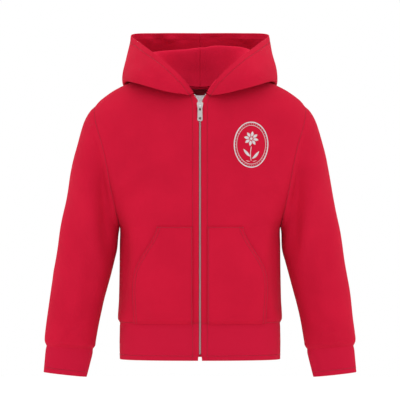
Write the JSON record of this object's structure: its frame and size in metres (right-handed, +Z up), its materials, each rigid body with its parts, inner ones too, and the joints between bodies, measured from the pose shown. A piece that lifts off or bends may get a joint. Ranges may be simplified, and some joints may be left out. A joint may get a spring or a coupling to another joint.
{
  "type": "kids hoodie",
  "caption": "Child's zip-front hooded sweatshirt, filled out as when worn, with pouch pockets, rib cuffs and hem band, and a swinging zip pull tab.",
  "frame": {"origin": "middle of the neck opening, level with the highest points of the shoulder seams, where the wearer's shoulders carry the garment", "axes": "+Z up along the body, the front faces -Y, +X to the right as seen from the front"},
  "size_m": [0.577, 0.242, 0.6415],
  "materials": {
    "fleece": "soft matt red fleece",
    "rib": "red rib knit",
    "tape": "red woven tape",
    "label": "plain white woven label",
    "zip_metal": "nickel-plated metal"
  },
  "bodies": {
    "garment": {"front_left": "fleece", "front_right": "fleece", "back": "fleece", "sleeve_left": "fleece", "sleeve_right": "fleece", "cuff_left": "rib", "cuff_right": "rib", "hem_band": "rib", "hood_left": "fleece", "hood_right": "fleece", "pocket_left": "fleece", "pocket_right": "fleece", "zip_chain": "zip_metal", "zip_tape_left": "tape", "zip_tape_right": "tape", "zip_slider": "zip_metal", "neck_tape": "tape", "neck_label": "label"},
    "pull_tab": {"pull_tab": "zip_metal"}
  },
  "joints": [
    {"name": "pull_tab_swing", "type": "hinge", "parent": "garment", "child": "pull_tab", "pos_m": [0, -0.08434, -0.06742], "axis": [-1, 0, 0], "range_deg": [0, 140]}
  ]
}
